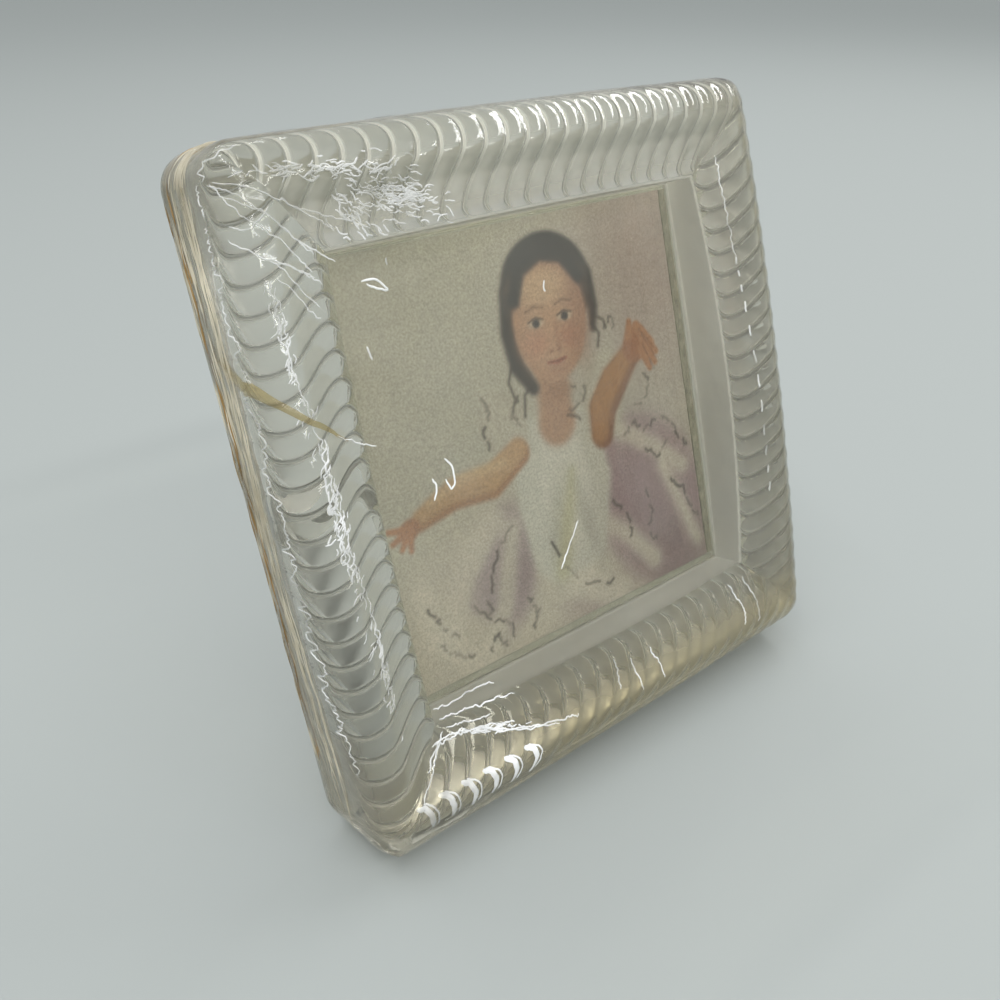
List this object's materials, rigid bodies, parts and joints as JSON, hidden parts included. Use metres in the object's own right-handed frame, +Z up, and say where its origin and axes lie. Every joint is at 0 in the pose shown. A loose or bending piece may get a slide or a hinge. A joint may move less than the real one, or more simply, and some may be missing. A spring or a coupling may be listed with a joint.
{
  "type": "glass picture frame",
  "caption": "Small pressed glass picture frame with a lobed border, wrapped in clear film, holding a square print and leaning back on a hinged easel strut.",
  "frame": {"origin": "centre of the footprint on the table, at table height", "axes": "+Z up, front of the frame faces -Y and leans back, +X to the right as seen from the front"},
  "size_m": [0.1322, 0.0682, 0.1323],
  "materials": {
    "pressed_glass": "fire-polished, clear",
    "clear_film": "clear, wrinkled, yellowed",
    "aged_tape": "yellowed, brittle, browner at its edge",
    "aged_glue": "streaky, yellowed",
    "print_paper": "semi-gloss print",
    "pale_card": "matte",
    "greyboard": "pressed, matte",
    "flocked_paper": "flocked, grey",
    "plated_steel": "nickel-plated",
    "rivet_brass": "dull",
    "felt": "pressed felt, grey"
  },
  "bodies": {
    "frame": {"glass_frame": "pressed_glass", "film_wrap": "clear_film", "tape_top": "aged_tape", "tape_bottom": "aged_tape", "tape_left": "aged_tape", "tape_right": "aged_tape", "photo_print": "print_paper", "glue_top": "aged_glue", "glue_bottom": "aged_glue", "glue_left": "aged_glue", "glue_right": "aged_glue", "spacer_card": "pale_card", "backing_board": "greyboard", "board_cover": "flocked_paper", "tab_rivet_left": "rivet_brass", "tab_rivet_right": "rivet_brass", "hinge_leaf_board": "plated_steel", "hinge_pin": "plated_steel", "board_rivet_left": "rivet_brass", "board_rivet_right": "rivet_brass"},
    "strut": {"easel_strut": "greyboard", "strut_foot": "felt", "hinge_leaf_strut": "plated_steel", "strut_rivet_left": "rivet_brass", "strut_rivet_right": "rivet_brass"},
    "left_tab": {"turn_tab_left": "plated_steel"},
    "right_tab": {"turn_tab_right": "plated_steel"}
  },
  "joints": [
    {"name": "strut_fold", "type": "hinge", "parent": "frame", "child": "strut", "pos_m": [0, 0.01355, 0.08691], "axis": [-1, 0, 0], "range_deg": [0, 26.5]},
    {"name": "left_tab_turn", "type": "hinge", "parent": "frame", "child": "left_tab", "pos_m": [-0.03975, 0.00488, 0.06447], "axis": [0, 0.9548, -0.2974], "range_deg": [0, 90]},
    {"name": "right_tab_turn", "type": "hinge", "parent": "frame", "child": "right_tab", "pos_m": [0.03975, 0.00488, 0.06447], "axis": [0, -0.9548, 0.2974], "range_deg": [0, 90]}
  ]
}
